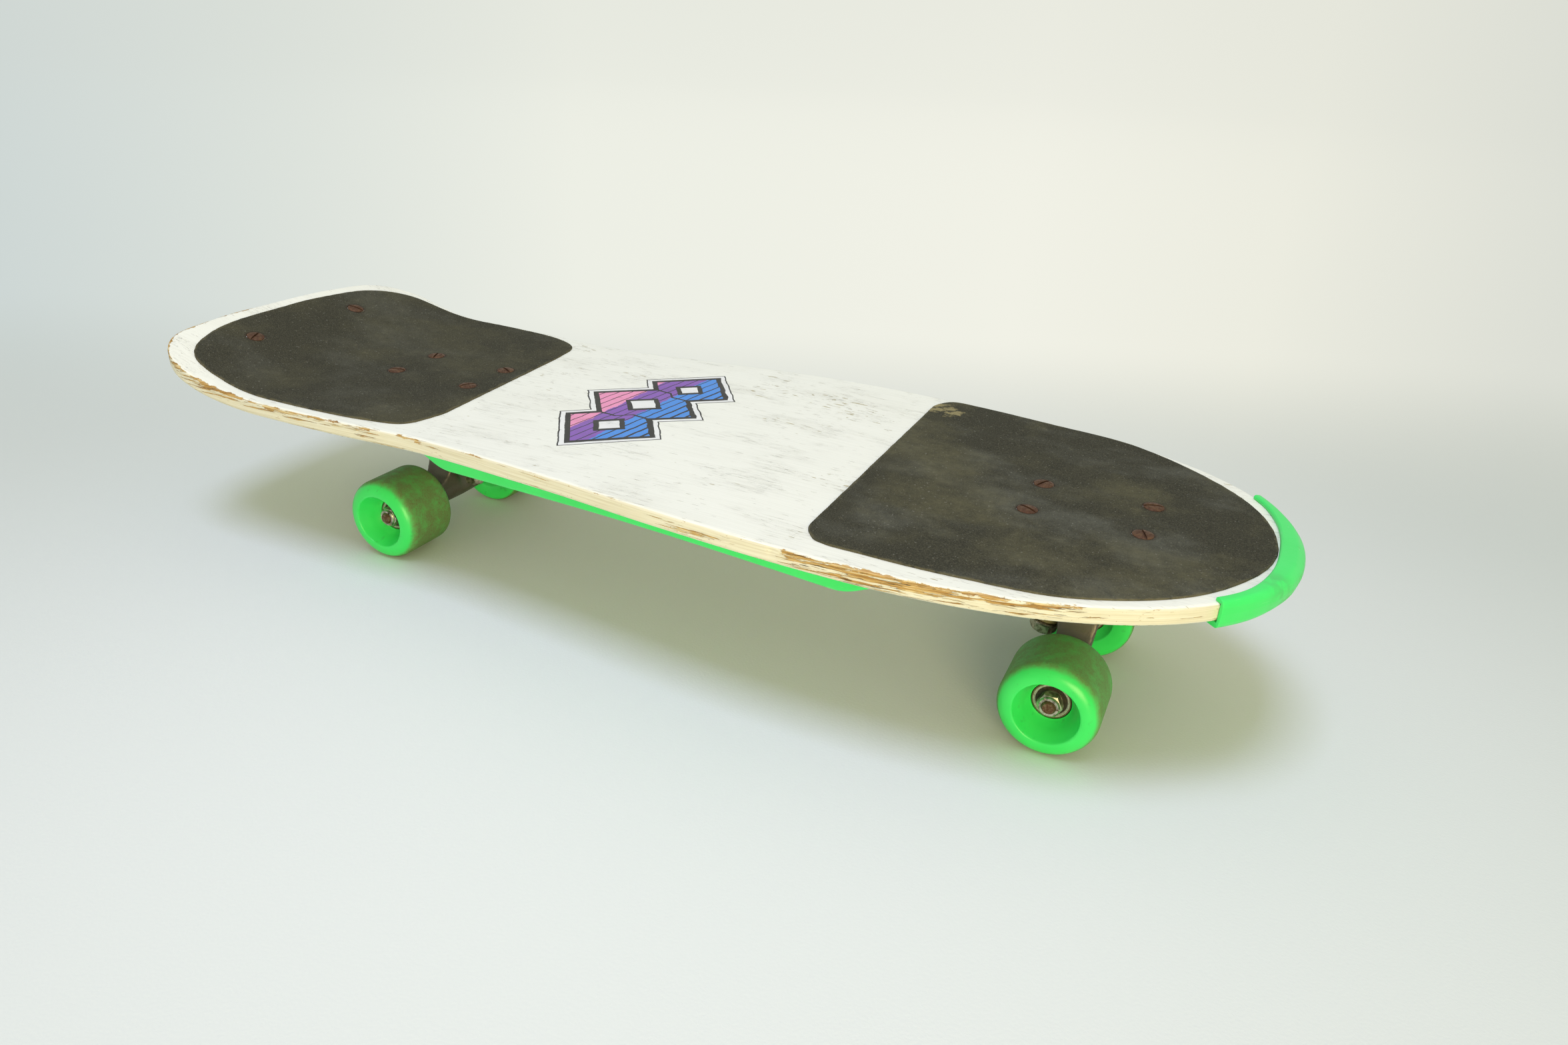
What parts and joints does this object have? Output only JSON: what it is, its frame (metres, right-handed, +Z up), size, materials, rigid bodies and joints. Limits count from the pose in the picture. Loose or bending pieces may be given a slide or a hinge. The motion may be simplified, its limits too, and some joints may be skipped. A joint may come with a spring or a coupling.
{
  "type": "skateboard",
  "caption": "Wide kicktail skateboard with steering trucks, round-lipped wheels, edge rails, a nose guard and a tail skid.",
  "frame": {"origin": "middle of the length and width, on the floor under the wheels", "axes": "+X to the nose, +Y to the left edge seen from the tail, +Z up"},
  "size_m": [0.7434, 0.273, 0.1422],
  "materials": {
    "deck_paint": "off-white paint on plywood, worn through to wood along the edges",
    "grip_grit": "coarse dark grit sheet, dusty and worn",
    "green_plastic": "bright green moulded plastic, satin, scuffed",
    "wheel_urethane": "bright green translucent-looking urethane, tread dirty",
    "riser_rubber": "black rubber",
    "cup_plastic": "black plastic",
    "bushing_urethane": "aged amber urethane",
    "cast_metal": "dull cast metal, dirty",
    "rusty_steel": "rusted steel",
    "plated_steel": "zinc-plated steel, tarnished",
    "bearing_steel": "dirty bearing steel"
  },
  "bodies": {
    "board": {"deck": "deck_paint", "grip_tail": "grip_grit", "grip_nose": "grip_grit", "nose_guard": "green_plastic", "guard_screw_1": "plated_steel", "guard_screw_2": "plated_steel", "guard_screw_3": "plated_steel", "rail_left": "green_plastic", "rail_left_screw_1": "plated_steel", "rail_left_screw_2": "plated_steel", "rail_left_screw_3": "plated_steel", "rail_right": "green_plastic", "rail_right_screw_1": "plated_steel", "rail_right_screw_2": "plated_steel", "rail_right_screw_3": "plated_steel", "tail_skid": "green_plastic", "skid_bolt_left": "rusty_steel", "skid_bolt_right": "rusty_steel", "front_riser": "riser_rubber", "front_baseplate": "cast_metal", "front_pivot_cup": "cup_plastic", "front_kingpin": "plated_steel", "front_kingpin_nut": "plated_steel", "front_bushing_top": "bushing_urethane", "front_bushing_low": "bushing_urethane", "front_cup_washer_top": "plated_steel", "front_cup_washer_low": "plated_steel", "front_bolt_1": "rusty_steel", "front_bolt_2": "rusty_steel", "front_bolt_3": "rusty_steel", "front_bolt_4": "rusty_steel", "rear_riser": "riser_rubber", "rear_baseplate": "cast_metal", "rear_pivot_cup": "cup_plastic", "rear_kingpin": "plated_steel", "rear_kingpin_nut": "plated_steel", "rear_bushing_top": "bushing_urethane", "rear_bushing_low": "bushing_urethane", "rear_cup_washer_top": "plated_steel", "rear_cup_washer_low": "plated_steel", "rear_bolt_1": "rusty_steel", "rear_bolt_2": "rusty_steel", "rear_bolt_3": "rusty_steel", "rear_bolt_4": "rusty_steel"},
    "front_truck": {"front_hanger": "cast_metal", "front_axle": "rusty_steel", "front_axle_nut_left": "plated_steel", "front_axle_nut_right": "plated_steel"},
    "rear_truck": {"rear_hanger": "cast_metal", "rear_axle": "rusty_steel", "rear_axle_nut_left": "plated_steel", "rear_axle_nut_right": "plated_steel"},
    "front_wheel_left": {"front_wheel_left": "wheel_urethane", "front_bearings_left": "bearing_steel"},
    "front_wheel_right": {"front_wheel_right": "wheel_urethane", "front_bearings_right": "bearing_steel"},
    "rear_wheel_left": {"rear_wheel_left": "wheel_urethane", "rear_bearings_left": "bearing_steel"},
    "rear_wheel_right": {"rear_wheel_right": "wheel_urethane", "rear_bearings_right": "bearing_steel"}
  },
  "joints": [
    {"name": "front_steer", "type": "hinge", "parent": "board", "child": "front_truck", "pos_m": [0.27795, 0, 0.08064], "axis": [0.8063, 0, 0.5916], "range_deg": [-12, 12], "stiffness_Nm_per_rad": 25, "deforming": ["front_bushing_top", "front_bushing_low"]},
    {"name": "rear_steer", "type": "hinge", "parent": "board", "child": "rear_truck", "pos_m": [-0.21925, 0, 0.08064], "axis": [-0.8063, 0, 0.5916], "range_deg": [-12, 12], "stiffness_Nm_per_rad": 25, "deforming": ["rear_bushing_top", "rear_bushing_low"]},
    {"name": "front_left_spin", "type": "hinge", "parent": "front_truck", "child": "front_wheel_left", "pos_m": [0.26355, 0.05835, 0.02864], "axis": [0, 1, 0], "continuous": true},
    {"name": "front_right_spin", "type": "hinge", "parent": "front_truck", "child": "front_wheel_right", "pos_m": [0.26355, -0.05835, 0.02864], "axis": [0, 1, 0], "continuous": true},
    {"name": "rear_left_spin", "type": "hinge", "parent": "rear_truck", "child": "rear_wheel_left", "pos_m": [-0.20485, 0.05835, 0.02864], "axis": [0, 1, 0], "continuous": true},
    {"name": "rear_right_spin", "type": "hinge", "parent": "rear_truck", "child": "rear_wheel_right", "pos_m": [-0.20485, -0.05835, 0.02864], "axis": [0, 1, 0], "continuous": true}
  ]
}
